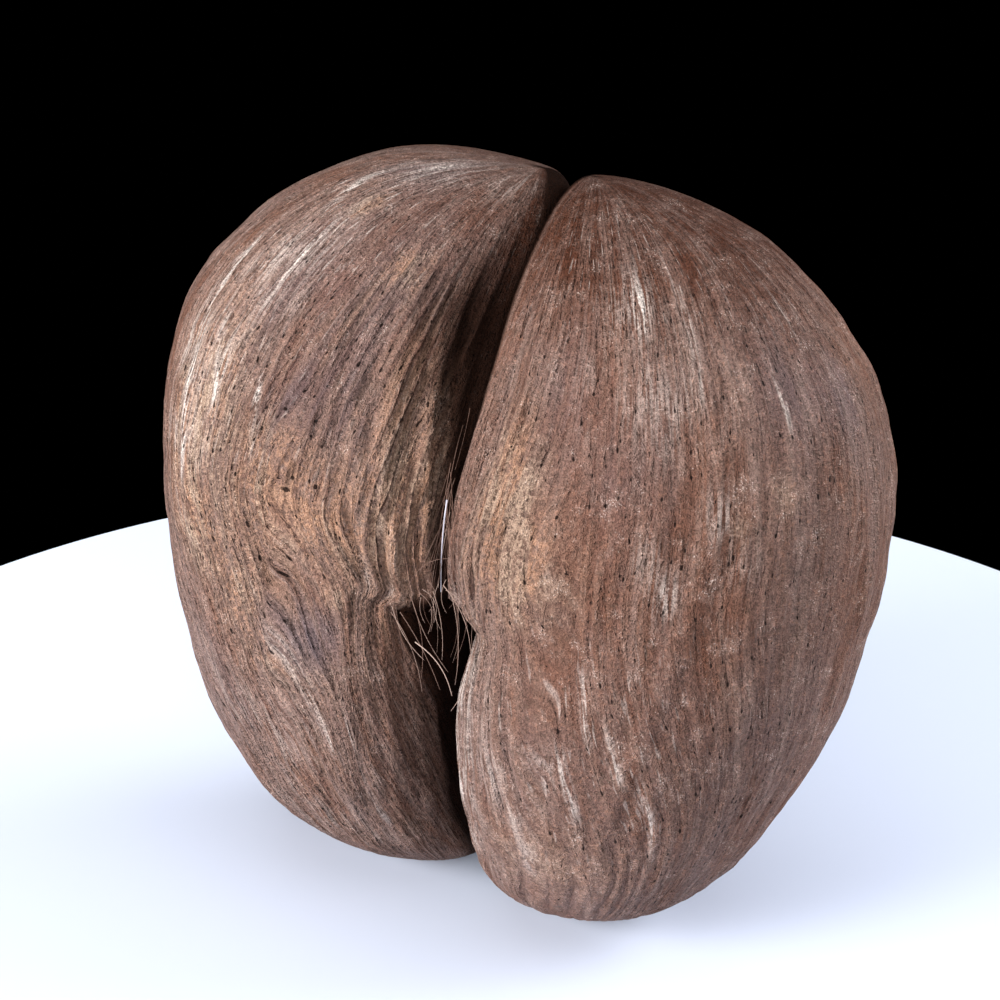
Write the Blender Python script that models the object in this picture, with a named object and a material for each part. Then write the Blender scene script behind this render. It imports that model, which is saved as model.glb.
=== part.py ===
"""Coco de mer nut: one bare, dry double nut, standing on the rounded tips of its two lobes.

Metres, +Z up. The origin is on the resting surface, under the middle of the nut. The front, with the fibrous pit
between the lobes, faces -Y. The right lobe is at +X, and the left lobe is its mirror image, a little larger.
"""

import math
from collections import namedtuple

import bmesh
import bpy
import numpy as np

# Driving dimensions of the right lobe, from the tip that it stands on to the pole where its ribs meet at the top.
HEIGHT = 0.285
POLE = (0.010, 0.024)
TIP = (0.033, -0.001)
FOOT_CUT = 0.0030

# Each outline bulges to `reach` at the height `level`, with the squareness of its curve below and above that.
Outline = namedtuple("Outline", "reach level low high")
OUTER = Outline(0.1405, 0.172, 1.97, 2.15)
INNER = Outline(-0.009, 0.175, 3.5, 2.8)
FRONT = Outline(-0.088, 0.100, 2.3, 1.85)
BACK = Outline(0.077, 0.168, 1.45, 2.0)
RIDGE_SHARE = 0.46

# A level section of a lobe is round, but its inner front corner is squarer, most of all at the bridge above the pit.
ROUND = 2.0
BRIDGE_SQUARENESS = 1.7
BRIDGE_LEVEL = 0.165
SPREAD_ABOVE = 0.050
SPREAD_BELOW = 0.100

# The lobes part below the bridge: a wide pit in front, a narrow slit below it, and a notch that widens
# downwards at the back. Points closer to the seam than the snap are put on it.
PIT_TOP = 0.148
PIT_LIP = 0.008
PIT_FALL = 0.028
PIT_HALF_WIDTH = 0.0145
SLIT_HALF_WIDTH = 0.0012
BACK_CROTCH = 0.072
PARTING_SOFTNESS = 0.002
BACK_NOTCH_HALF_WIDTH = 0.0065
SEAM_SNAP = 0.0003

# A waist runs from the pit out across the front of each lobe.
WAIST_LEVEL = 0.144
WAIST_SPREAD = 0.018
WAIST_DEPTH = 0.007
WAIST_REACH = 0.055

# The left lobe is a little taller and wider than the right one.
LEFT_TALLER = 0.026
LEFT_BLEND = 0.065
LEFT_WIDER_LOW = 0.055
LEFT_WIDER_HIGH = 0.215
LEFT_WIDER_POWER = 1.3
LEFT_SPLAY = 0.009
SPLAY_TOP = 0.100
LEFT_WAIST_DEPTH = 0.006
LEFT_WAIST_LEVEL = 0.142
FRONT_BLEND = 0.035

# The notch between the poles leans over towards the right lobe.
NOTCH_LEAN = 0.0030
NOTCH_LEVEL = 0.240
NOTCH_RISE = 0.040
NOTCH_SPREAD = 0.022

# Ribs run from the tip to the pole, each wave with its count round the lobe, its phase and its share of the height.
Wave = namedtuple("Wave", "count phase share")
RIB_WAVES = (Wave(19, 0.3, 0.45), Wave(31, 1.7, 0.55), Wave(45, 4.1, 0.40))
RIB_HEIGHT = 0.0014
RIB_FADE = 0.060
RIB_SWAY = 0.12
BOLD_TURN = 0.75
BOLD_SPREAD = 0.60
BOLD_FROM = 0.118
BOLD_RISE = 0.034
PLAIN_SHARE = 0.35

# The middle of the nut's box, on the lobes' own X and Y.
MIDDLE = (-0.0100, -0.0056)

# Mesh. Rows crowd together at the lip of the pit, and columns on the inner front, by shares of a full turn.
Crowd = namedtuple("Crowd", "extra middle spread")
ROWS = 26
ROW_CROWD = Crowd(1.6, 0.144, 0.014)
COLUMNS = 112
COLUMN_CROWD = Crowd(0.7, 0.12, 0.14)


def ease(share):
    """0 to 1, with a level start and end."""
    share = np.clip(share, 0.0, 1.0)
    return share * share * (3.0 - 2.0 * share)


def outline_at(height, outline, tip, pole):
    """How far an outline stands from the lobe's own axis plane at a height."""
    below = height < outline.level
    span = np.where(below, outline.level, HEIGHT - outline.level)
    share = np.clip(np.abs(height - outline.level) / span, 0.0, 1.0)
    power = np.where(below, outline.low, outline.high)
    end = np.where(below, tip, pole)
    return end + (outline.reach - end) * (1.0 - share**power) ** (1.0 / power)


def parting(height, sine, inner):
    """How far the inner side steps away from the middle plane, below the bridge."""
    in_front = ease((sine + 0.10) / 0.45)
    top = BACK_CROTCH + (PIT_TOP - BACK_CROTCH) * in_front
    below_lip = ease((top - height) / PIT_LIP)
    pit = np.exp(-(np.clip(PIT_TOP - height, 0.0, None) / PIT_FALL) ** 2) * in_front
    half_width = SLIT_HALF_WIDTH + (PIT_HALF_WIDTH - SLIT_HALF_WIDTH) * pit
    notch = ease((BACK_CROTCH - height) / BACK_CROTCH) * (1.0 - in_front)
    half_width = half_width + BACK_NOTCH_HALF_WIDTH * notch
    short = half_width - inner
    return below_lip * (short + np.hypot(short, PARTING_SOFTNESS)) / 2.0


def rib(height, turn):
    """How far the ribs stand out of the lobe. They are boldest on the inner front, above the pit."""
    sway = RIB_SWAY * np.sin(2.0 * math.pi * height / HEIGHT)
    waves = sum(wave.share * np.sin(wave.count * (turn + sway) + wave.phase) for wave in RIB_WAVES)
    bold = np.exp(-(((turn - BOLD_TURN) / BOLD_SPREAD) ** 2)) * ease((height - BOLD_FROM) / BOLD_RISE)
    fade = ease(np.minimum(height, HEIGHT - height) / RIB_FADE)
    return RIB_HEIGHT * waves * fade * (PLAIN_SHARE + (1.0 - PLAIN_SHARE) * bold)


def lobe_point(height, turn):
    """A point of the right lobe. turn is 0 on the inner side, a quarter turn in front and a half turn outside."""
    outer = outline_at(height, OUTER, TIP[0], POLE[0])
    inner = outline_at(height, INNER, TIP[0], POLE[0])
    front = outline_at(height, FRONT, TIP[1], POLE[1])
    back = outline_at(height, BACK, TIP[1], POLE[1])
    ridge = inner + RIDGE_SHARE * (outer - inner)
    middle = (front + back) / 2.0

    cosine, sine = np.cos(turn), np.sin(turn)
    is_inner, is_front = cosine > 0.0, sine > 0.0
    spread = np.where(height > BRIDGE_LEVEL, SPREAD_ABOVE, SPREAD_BELOW)
    bridge = BRIDGE_SQUARENESS * np.exp(-(((height - BRIDGE_LEVEL) / spread) ** 2))
    power = np.where(is_inner & is_front, ROUND + bridge, ROUND)
    across = np.abs(cosine) ** (2.0 / power)
    along = np.abs(sine) ** (2.0 / power)

    x = ridge + np.where(is_inner, inner - ridge, outer - ridge) * across
    y = middle + np.where(is_front, front - middle, back - middle) * along
    x = x + np.where(is_inner, parting(height, sine, inner) * across**3, 0.0)
    waist = np.exp(-(((height - WAIST_LEVEL) / WAIST_SPREAD) ** 2)) * np.exp(-((x / WAIST_REACH) ** 2))
    y = y + np.where(is_front, WAIST_DEPTH * waist * along, 0.0)
    push = rib(height, turn)
    return x - push * cosine, y - push * sine


def level_at(share):
    """Height at a share of the way from tip to pole, with rows closer together at both ends."""
    return HEIGHT * (1.0 - np.cos(math.pi * share)) / 2.0


def spaced(count, place_of, crowd):
    """count + 1 shares from 0 to 1, closer together where the place of a share is near the middle of the crowd."""
    fine = np.linspace(0.0, 1.0, 2001)
    density = 1.0 + crowd.extra * np.exp(-(((place_of(fine) - crowd.middle) / crowd.spread) ** 2))
    total = np.concatenate([[0.0], np.cumsum((density[1:] + density[:-1]) / 2.0)])
    return np.interp(np.linspace(0.0, total[-1], count + 1), total, fine)


def lobe_mesh():
    """The whole right lobe as a closed bmesh of rows and columns."""
    shares = spaced(ROWS, level_at, ROW_CROWD)
    turns = 2.0 * math.pi * spaced(COLUMNS, np.positive, COLUMN_CROWD)[:-1]
    mesh = bmesh.new()
    tip = mesh.verts.new((TIP[0], TIP[1], 0.0))
    pole = mesh.verts.new((POLE[0], POLE[1], HEIGHT))
    rows = []
    for share in shares[1:-1]:
        height = level_at(share)
        x, y = lobe_point(np.full(COLUMNS, height), turns)
        rows.append([mesh.verts.new((a, b, height)) for a, b in zip(x, y)])
    for column in range(COLUMNS):
        beside = (column + 1) % COLUMNS
        mesh.faces.new((tip, rows[0][beside], rows[0][column]))
        mesh.faces.new((pole, rows[-1][column], rows[-1][beside]))
        for lower, upper in zip(rows, rows[1:]):
            mesh.faces.new((lower[column], lower[beside], upper[beside], upper[column]))
    bmesh.ops.recalc_face_normals(mesh, faces=mesh.faces)
    return mesh


def both_lobes():
    """The right lobe, cut at the middle plane where it would cross it, and its mirror image, joined there."""
    mesh = lobe_mesh()
    for vert in mesh.verts:
        if abs(vert.co.x) < SEAM_SNAP:
            vert.co.x = 0.0
    cut = mesh.verts[:] + mesh.edges[:] + mesh.faces[:]
    bmesh.ops.bisect_plane(mesh, geom=cut, dist=1e-6, plane_co=(0, 0, 0), plane_no=(-1, 0, 0), clear_outer=True)
    whole = mesh.verts[:] + mesh.edges[:] + mesh.faces[:]
    bmesh.ops.mirror(mesh, geom=whole, merge_dist=1e-5, axis="X")
    return mesh


def left_point(x, y, z):
    """Where a point left of the middle plane goes, to make the left lobe larger and its waist deeper."""
    away = ease(-x / LEFT_BLEND)
    wider = 1.0 + LEFT_WIDER_LOW + (LEFT_WIDER_HIGH - LEFT_WIDER_LOW) * (z / HEIGHT) ** LEFT_WIDER_POWER
    waist = np.exp(-(((z - LEFT_WAIST_LEVEL) / WAIST_SPREAD) ** 2) - (x / WAIST_REACH) ** 2)
    front = ease(-y / FRONT_BLEND)
    splay = LEFT_SPLAY * ease(1.0 - z / SPLAY_TOP) * ease(-x / FRONT_BLEND)
    return x * wider - splay, y + LEFT_WAIST_DEPTH * waist * away * front, z * (1.0 + LEFT_TALLER * away)


def notch_lean(x, z):
    """How far a point near the notch goes to the right."""
    return NOTCH_LEAN * ease((z - NOTCH_LEVEL) / NOTCH_RISE) * np.exp(-((x / NOTCH_SPREAD) ** 2))


def grow_left(mesh):
    for vert in mesh.verts:
        if vert.co.x < 0.0:
            vert.co = left_point(*vert.co)
        vert.co.x += notch_lean(vert.co.x, vert.co.z)


def flat_feet(mesh):
    """Cuts a small flat spot on each tip, and sets the nut down on them."""
    cut = mesh.verts[:] + mesh.edges[:] + mesh.faces[:]
    level = (0, 0, FOOT_CUT)
    bmesh.ops.bisect_plane(mesh, geom=cut, dist=1e-6, plane_co=level, plane_no=(0, 0, -1), clear_outer=True)
    rims = [edge for edge in mesh.edges if edge.is_boundary]
    bmesh.ops.edgeloop_fill(mesh, edges=rims)
    bmesh.ops.translate(mesh, verts=mesh.verts, vec=(-MIDDLE[0], -MIDDLE[1], -FOOT_CUT))


def shell_material():
    material = bpy.data.materials.new("woody_shell")
    material.use_nodes = True
    shader = material.node_tree.nodes["Principled BSDF"]
    shader.inputs["Base Color"].default_value = (0.215, 0.135, 0.112, 1.0)
    shader.inputs["Roughness"].default_value = 0.55
    shader.inputs["Metallic"].default_value = 0.0
    return material


def add_nut():
    mesh = both_lobes()
    grow_left(mesh)
    flat_feet(mesh)
    bmesh.ops.recalc_face_normals(mesh, faces=mesh.faces)
    data = bpy.data.meshes.new("nut")
    mesh.to_mesh(data)
    mesh.free()
    data.materials.append(shell_material())
    data.shade_smooth()
    data.set_sharp_from_angle(angle=math.radians(50))
    nut = bpy.data.objects.new("nut", data)
    bpy.context.scene.collection.objects.link(nut)
    return nut


def main():
    for old in list(bpy.data.objects):
        bpy.data.objects.remove(old)
    add_nut()


main()
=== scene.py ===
"""Coco de mer nut: the dressed model, with its ribbed, pitted and worn shell and the husk fibres in its pit.

Metres, +Z up. The shell repeats the lobes of the solid nut and adds finer relief. The right lobe is at +X. A
place on a lobe is given by its turn, 0 on the inner side and a quarter turn in front, and by its height.
"""

import math
import random
from collections import namedtuple

import bmesh
import bpy
import numpy as np
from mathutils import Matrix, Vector, noise
from mathutils.bvhtree import BVHTree


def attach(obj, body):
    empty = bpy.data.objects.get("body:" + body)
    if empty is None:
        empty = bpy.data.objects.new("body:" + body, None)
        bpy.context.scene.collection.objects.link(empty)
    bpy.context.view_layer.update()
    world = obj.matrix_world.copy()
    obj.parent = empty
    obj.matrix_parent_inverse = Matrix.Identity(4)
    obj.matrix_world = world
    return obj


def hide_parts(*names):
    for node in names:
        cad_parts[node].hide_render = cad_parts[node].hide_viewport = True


# Driving dimensions of the right lobe, from the tip that it stands on to the pole where its ribs meet.
HEIGHT = 0.285
POLE = (0.010, 0.024)
TIP = (0.033, -0.001)
FOOT_CUT = 0.0030

# Each outline bulges to `reach` at the height `level`, with the squareness of its curve below and above that.
Outline = namedtuple("Outline", "reach level low high")
OUTER = Outline(0.1405, 0.172, 1.97, 2.15)
INNER = Outline(-0.009, 0.175, 3.5, 2.8)
FRONT = Outline(-0.088, 0.100, 2.3, 1.85)
BACK = Outline(0.077, 0.168, 1.45, 2.0)
RIDGE_SHARE = 0.46

# A level section of a lobe is round, but its inner front corner is squarer, most of all at the bridge above
# the pit.
ROUND = 2.0
BRIDGE_SQUARENESS = 1.7
BRIDGE_LEVEL = 0.165
SPREAD_ABOVE = 0.050
SPREAD_BELOW = 0.100

# The lobes part below the bridge: a wide pit in front, a narrow slit below it, and a notch that widens
# downwards at the back. Points closer to the seam than the snap are put on it.
PIT_TOP = 0.148
PIT_LIP = 0.008
PIT_FALL = 0.028
PIT_HALF_WIDTH = 0.0145
SLIT_HALF_WIDTH = 0.0012
BACK_CROTCH = 0.072
PARTING_SOFTNESS = 0.002
BACK_NOTCH_HALF_WIDTH = 0.0065
SEAM_SNAP = 0.0003
SEAM_MERGE = 1e-5
CUT_SNAP = 1e-6

# A waist runs from the pit out across the front of each lobe.
WAIST_LEVEL = 0.144
WAIST_SPREAD = 0.018
WAIST_DEPTH = 0.007
WAIST_REACH = 0.055

# The left lobe is a little taller and wider than the right one.
LEFT_TALLER = 0.026
LEFT_BLEND = 0.065
LEFT_WIDER_LOW = 0.055
LEFT_WIDER_HIGH = 0.215
LEFT_WIDER_POWER = 1.3
LEFT_SPLAY = 0.009
SPLAY_TOP = 0.100
LEFT_WAIST_DEPTH = 0.006
LEFT_WAIST_LEVEL = 0.142
FRONT_BLEND = 0.035

# The notch between the poles leans over towards the right lobe.
NOTCH_LEAN = 0.0030
NOTCH_LEVEL = 0.240
NOTCH_RISE = 0.040
NOTCH_SPREAD = 0.022

# Broad ribs run from the tip to the pole, each wave with its count round the lobe, its phase and its share of
# the height.
Wave = namedtuple("Wave", "count phase share")
RIB_WAVES = (Wave(19, 0.3, 0.45), Wave(31, 1.7, 0.55), Wave(45, 4.1, 0.40))
RIB_HEIGHT = 0.0014
RIB_FADE = 0.060
RIB_SWAY = 0.12
BOLD_TURN = 0.75
BOLD_SPREAD = 0.60
BOLD_FROM = 0.118
BOLD_RISE = 0.034
PLAIN_SHARE = 0.35

# The middle of the nut's box, on the lobes' own X and Y.
MIDDLE = (-0.0100, -0.0056)

# Mesh. Rows crowd together at the lip of the pit, and columns on the inner front, by shares of a full turn.
Crowd = namedtuple("Crowd", "extra middle spread")
ROWS = 112
ROW_CROWD = Crowd(0.8, 0.144, 0.020)
COLUMNS = 412
COLUMN_CROWD = Crowd(0.8, 0.20, 0.16)

# The grain follows lines of its own: it sweeps outward on the way down, and on the left lobe back inward
# below the waist. A pair of limits says where a share leaves 0 and where it reaches 1, in degrees of turn or
# in metres of height.
GRAIN_RADIUS = 0.080
GRAIN_LENGTH = 0.400
GRAIN_STEP = math.radians(0.5)
LOBE_AXIS = (0.060, -0.005)
RADIUS_LIMITS = (0.9, 1.7)
CROWDING_LIMITS = (0.35, 2.0)
RIGHT_SWEEP = math.radians(30)
RIGHT_SWEEP_TURNS = ((50.0, 130.0), (180.0, 120.0))
RIGHT_SWEEP_LEVELS = (0.178, 0.043)
LEFT_SWEEP = math.radians(20)
LEFT_SWEEP_TURNS = ((0.0, 25.0), (118.0, 78.0))
LEFT_SWEEP_LEVELS = (0.265, 0.160)
LEFT_RETURN = math.radians(58)
LEFT_RETURN_MIDDLE = math.radians(60)
LEFT_RETURN_LEVEL = 0.175
LEFT_RETURN_DROP = 0.022
LEFT_RETURN_DROP_TURNS = (80.0, 62.0)
LEFT_RETURN_SPAN = 0.180
LEFT_RETURN_POWER = 0.7

# Folds of the shell, each a row of rounded ridges with narrow grooves between them.
Fold = namedtuple("Fold", "pitch length height")
FOLDS = (Fold(0.0135, 0.150, 0.0024), Fold(0.0060, 0.040, 0.0022), Fold(0.0031, 0.014, 0.0016))
FOLD_MEAN = 0.20
FOLD_APART = 3.1

# Long rounded ribs, this many round a lobe if they ran all the way. They wander and ripple sideways by these
# phases, and are uneven in depth. A patch is the size of a noise across the grain and along it, and its shift.
RIBS = 84
RIBS_HEIGHT = 0.0040
RIBS_POWER = 0.75
RIBS_MEAN = 0.72
RIBS_WANDER = 2.6
RIBS_RIPPLE = 0.80
RIBS_DEPTH = 0.75
RIBS_UNEVEN = 0.9
Patch = namedtuple("Patch", "across along shift")
WANDER_PATCH = Patch(0.020, 0.060, 0.0)
RIPPLE_PATCH = Patch(0.006, 0.015, 5.0)
UNEVEN_PATCH = Patch(0.011, 0.034, 9.0)
BROKEN_PATCH = Patch(0.008, 0.022, 11.0)

# Low waves over the whole shell, and how far from an end and from the seam the relief fades out.
Swell = namedtuple("Swell", "height scale offset")
SWELLS = (Swell(0.0013, 34.0, 7.0), Swell(0.0006, 95.0, 3.0))
END_FADE = 0.030
RIM_FADE = 0.007

# The pit is hollowed into the left lobe, by this depth and with soft edges in degrees and millimetres. Its
# outer edge is at the turn, and widens between two levels by so many degrees, and again between two more.
PIT_CARVE = 0.0052
CARVE_LEVELS = (92.0, 120.0)
HOLLOW_TURN = 31.5
HOLLOW_WIDER = ((95.0, 135.0, 18.0), (132.0, 146.0, 11.0))
HOLLOW_EDGE = 4.0
HOLLOW_FRONT = (-14.0, 0.0)
HOLLOW_TOP = (148.0, 144.0)

# Marks on the lobes, on the left ("L"), the right ("R") or both ("LR"), in degrees of turn and millimetres of
# height. A spot is soft all round. A streak follows a grain line, and a leaning one goes from one turn at its
# lower end to another at its upper end. A zone fades in between the two `low` heights and out between the two
# `high` ones, and goes all round where it has no spread.
Spot = namedtuple("Spot", "side turn height wide tall weight")
Streak = namedtuple("Streak", "side line low high wide weight")
Leaning = namedtuple("Leaning", "side start end low high wide weight")
Zone = namedtuple("Zone", "side turn spread low high weight")
STREAK_FADE = 12.0
LEANING_FADE = 10.0
FROM_TIP = (-2.0, -1.0)
TO_POLE = (302.0, 301.0)

# Low forms on the left lobe, each weighted by its height in metres.
DIMPLE = (Spot("L", 86, 126, 6, 12, -0.0032), Spot("L", 97, 140, 9, 16, -0.0014))
KNUCKLE = (Spot("L", 80, 128, 4.5, 6, 0.0024), Spot("L", 96, 118, 6, 7, 0.0016))
RIDGES = (Spot("L", 73.5, 152, 2.4, 11, 0.0011), Spot("L", 64, 148, 2.6, 7, 0.0007))
BEAK = (Spot("L", 35, 277, 40, 5, 0.0020),)
SMOOTH_SPOT = Spot("L", 60, 144, 14, 9, 0.75)

# How strongly the shell is ribbed, in general and in places.
BOLD_EVEN = (0.12, 0.12)
BOLD_MARKS = (
    Zone("L", 58, 36, (118, 148), (266, 216), 0.88),
    Zone("L", 62, 40, (0, 40), (150, 120), 0.26),
    Zone("R", 95, 45, FROM_TIP, (150, 100), 0.15),
    Spot("R", 72, 180, 22, 42, 0.34),
)

# Where the shell is worn to a warm ochre.
OCHRE_MARKS = (
    Spot("L", 84, 170, 15, 19, 0.65), Spot("L", 92, 189, 6, 12, 0.7),
    Spot("L", 56, 182, 18, 34, 0.8), Spot("L", 113, 147, 12, 14, 0.6),
    Streak("L", 118, 150, 212, 2.5, 0.7), Streak("L", 127, 140, 225, 3, 0.6),
    Spot("L", 99, 131, 8, 12, 0.6), Spot("L", 89, 112, 9, 9, 0.6),
    Spot("L", 81, 140, 3, 4, 0.9), Spot("L", 106, 268, 4, 3.5, 1.4),
    Spot("L", 72, 254, 7, 5, 1.3), Spot("L", 122, 205, 12, 45, 0.45),
    Spot("L", 104, 178, 20, 30, 0.3), Spot("L", 112, 206, 8, 26, 0.55),
    Spot("R", 74, 193, 7, 17, 1.6), Spot("R", 81, 172, 7, 16, 1.6),
    Spot("R", 66, 205, 6, 18, 0.5), Spot("R", 62, 165, 8, 30, 0.4),
    Spot("R", 128, 196, 3, 4, 0.6), Spot("R", 141, 205, 4, 5, 0.4),
    Spot("R", 92, 60, 20, 16, 0.4), Spot("LR", -110, 150, 40, 45, 0.55),
)

# Where the shell is stained blue-grey.
BLUE_MARKS = (
    Spot("L", 84, 125, 7, 13, 1), Spot("L", 88, 205, 10, 18, 0.75),
    Spot("L", 78, 252, 32, 20, 0.38), Spot("L", 104, 232, 12, 22, 0.3),
    Spot("L", 76, 212, 8, 22, 0.45), Spot("L", 112, 279, 18, 5, 0.7),
    Spot("L", 118, 92, 26, 22, 0.35), Spot("L", 30, 255, 20, 20, 0.4),
    Spot("R", 100, 210, 12, 22, 0.35), Spot("R", 152, 236, 13, 16, 0.55),
    Spot("R", 168, 228, 5, 12, 0.8), Spot("R", 150, 120, 22, 40, 0.12),
    Spot("R", 82, 232, 8, 20, 0.35), Spot("R", 92, 40, 30, 12, 0.12),
    Spot("LR", -60, 215, 30, 40, 0.5),
)

# Where dry, whitish skin is left: streaks along the grain and worn patches. The streaks on the upper left and
# top of the left lobe, and the broad spots on the right lobe's upper front and beside the slit, are also
# painted light.
PALE_AND_HIGHLIGHT_MARKS = (
    Leaning("L", 120, 132, 158, 256, 1, 1.1), Leaning("L", 96, 101, 180, 228, 0.8, 0.8),
    Leaning("L", 112, 124, 190, 250, 0.8, 0.6), Leaning("L", 118, 131, 260, 282, 2.2, 1),
    Streak("L", 116, 168, 262, 9, 0.3), Streak("L", 104, 225, 275, 9, 0.28),
    Streak("L", 131, 175, 250, 7, 0.3), Streak("L", 109, 238, 268, 1.3, 0.7),
    Streak("L", 112, 194, 220, 1.2, 0.6), Streak("L", 127, 140, 230, 1.8, 0.5),
    Streak("L", 134, 150, 240, 1.2, 0.5), Spot("L", 112, 280, 16, 4, 0.7),
    Spot("L", 60, 281, 20, 3, 0.5), Streak("L", 96, 60, 130, 1.6, 0.4),
    Streak("L", 84, 40, 100, 1.5, 0.35), Spot("L", 73, 151, 1.4, 8, 0.4),
    Spot("L", 64, 148, 1.4, 5, 0.35), Spot("L", 100, 85, 34, 26, 0.22),
    Spot("L", 84, 38, 30, 14, 0.22), Streak("R", 121, 228, 262, 0.9, 1.3),
    Streak("R", 120, 256, 280, 0.8, 0.8), Streak("R", 145, 220, 252, 0.9, 1.1),
    Streak("R", 160.5, 242, 268, 0.6, 0.9), Streak("R", 143, 264, 278, 1, 0.8),
    Streak("R", 106, 246, 272, 0.7, 0.5), Spot("R", 103, 258, 6, 7, 0.7),
    Spot("R", 108, 238, 20, 20, 0.22), Spot("R", 106, 185, 3, 9, 0.55),
    Spot("R", 113, 173, 3, 7, 0.5), Spot("R", 124, 199, 3, 9, 0.4),
    Spot("R", 130, 183, 4, 7, 0.5), Spot("R", 78, 94, 4, 9, 0.5),
    Spot("R", 92, 103, 4, 7, 0.45), Spot("R", 50, 95, 18, 52, 0.95),
    Spot("R", 90, 84, 4, 8, 0.35), Streak("R", 85, 80, 120, 0.9, 0.7),
    Streak("R", 92, 112, 150, 0.9, 0.7), Streak("R", 96, 98, 132, 0.9, 0.7),
    Streak("R", 100, 60, 110, 0.9, 0.7), Streak("R", 75, 50, 90, 0.9, 0.7),
)

# The pale marks are broken up by this mean and swing, between the least and the most.
PALE_BROKEN = (0.75, 1.8, 0.35, 1.4)

# How strongly the fine lines of the grain show, on the left and right in general and in places.
LINED_EVEN = (0.46, 0.16)
LINED_MARKS = (
    Zone("L", 60, 36, (135, 165), (240, 210), -0.20),
    Zone("L", 85, 30, (215, 240), TO_POLE, -0.14),
    Zone("R", 0, None, (225, 265), TO_POLE, 0.16),
    Zone("R", 45, 25, FROM_TIP, TO_POLE, 0.10),
)

# Where short pale strokes follow the grain.
DASHED_EVEN = (0.10, 0.05)
DASHED_MARKS = (
    Zone("L", 118, 30, (150, 210), TO_POLE, 0.45),
    Zone("L", 0, None, (235, 260), TO_POLE, 0.12),
    Zone("R", 100, 60, (235, 265), TO_POLE, 0.34),
    Spot("R", 100, 110, 30, 40, 0.35),
)

# Where the shell is darker: towards its upper ends, and painted shade on the left lobe's inner side, by the
# cleft.
DUSKY_EVEN = (0.0, 0.10)
DUSKY_AND_SHADE_MARKS = (
    Zone("L", 28, 20, (165, 205), TO_POLE, 0.85),
    Spot("L", 50, 80, 22, 45, 0.45), Spot("L", 88, 208, 13, 24, 0.3),
    Zone("R", 0, None, (235, 273), TO_POLE, 0.80),
    Spot("R", 114, 140, 30, 80, 0.36),
)
DUSKY_TOP = 0.38
DUSKY_TOP_LEVELS = (235.0, 270.0)
DUSKY_TOP_TURNS = (125.0, 95.0)

# Painted shade, with widths in metres off the seam, levels in millimetres and turns in degrees: along the seam
# above the pit, inside the cleft, in the pit and beside the slit; and a plain darkening round the poles.
SEAM_SHADE = 0.0042
SEAM_SHADE_WIDER = 0.0118
SEAM_SHADE_LEVELS = (242.0, 32.0)
SEAM_SHADE_FULL = 1.5
SEAM_SHADE_RIGHT = 0.0015
SEAM_SHADE_FROM = (130.0, 150.0)
SEAM_SHADE_FALL = 0.6
SEAM_SHADE_FALL_LEVELS = (240.0, 280.0)
POLE_DARKENING = 0.10
POLE_DARKENING_LEVELS = (262.0, 284.0)
CLEFT_TURNS = (34.0, 18.0)
HOLLOW_SHADE = 1.2
HOLLOW_SHADE_LEVELS = (70.0, 95.0)
SLIT_SHADE = 0.75
SLIT_SHADE_WIDTH = 0.011
SLIT_SHADE_TURNS = (-8.0, 4.0)
SLIT_SHADE_LEVELS = ((10.0, 50.0), (130.0, 110.0))

# Colours of the shell and its fibres, with those of the shell's painted shade and highlights.
DEEP_BROWN = (0.095, 0.036, 0.021, 1.0)
RED_BROWN = (0.195, 0.094, 0.066, 1.0)
MAUVE_BROWN = (0.205, 0.124, 0.104, 1.0)
GREY_TAN = (0.360, 0.256, 0.220, 1.0)
OLIVE_BROWN = (0.190, 0.135, 0.098, 1.0)
LIGHT_BROWN = (0.430, 0.288, 0.240, 1.0)
# Painted highlight on the crests of the ribs.
CREST_HIGHLIGHT = (0.460, 0.272, 0.180, 1.0)
RUST = (0.360, 0.165, 0.095, 1.0)
# A darker brown, also used as painted shade by the cleft.
DUSK_AND_SHADE = (0.090, 0.032, 0.018, 1.0)
OCHRE = (0.450, 0.312, 0.232, 1.0)
ORANGE = (0.410, 0.230, 0.150, 1.0)
BLUE_GREY = (0.165, 0.120, 0.130, 1.0)
PALE = (0.700, 0.600, 0.550, 1.0)
# Painted shade in the grooves, cracks and furrows.
GROOVE_SHADE = (0.040, 0.015, 0.009, 1.0)
PIT_SHADE = (0.010, 0.004, 0.003, 1.0)
# Painted shade for the cleft, the pit and beside the slit.
CLEFT_SHADE = (0.012, 0.0035, 0.0012, 1.0)
FIBRE_BROWN = (0.125, 0.060, 0.040, 1.0)
FIBRE_PALE = (0.430, 0.310, 0.255, 1.0)
FIBRE_WHITE = (0.560, 0.540, 0.620, 1.0)

# Noise in the materials: its stretch along the grain, its scale, detail and roughness, and how far it warps.
Noise = namedtuple("Noise", "stretch scale detail rough warp")
PATCHES = Noise(0.50, 30.0, 3.0, 0.62, 0.50)
HUES = Noise(0.14, 125.0, 3.0, 0.62, 0.30)
BANDS = Noise(0.13, 300.0, 1.0, 0.40, 0.15)
LINES = Noise(0.09, 850.0, 1.0, 0.50, 0.0)
CRACKS = Noise(0.12, 170.0, 2.0, 0.50, 0.20)
STROKES = Noise(0.14, 800.0, 1.0, 0.50, 0.0)
MOTTLE = Noise(1.0, 110.0, 4.0, 0.72, 0.0)
GRAINS = Noise(1.0, 600.0, 3.0, 0.70, 0.0)
DUST = Noise(1.0, 1900.0, 1.0, 0.50, 0.0)
FIBRE_STREAKS = Noise(0.3, 1400.0, 2.0, 0.50, 0.0)
FLOOR_TONE = Noise(1.0, 3.0, 1.0, 0.50, 0.0)
HUES_MOVE = (3.0, 0.0, 0.0)
LINES_MOVE = (0.0, 5.0, 0.0)

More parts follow.
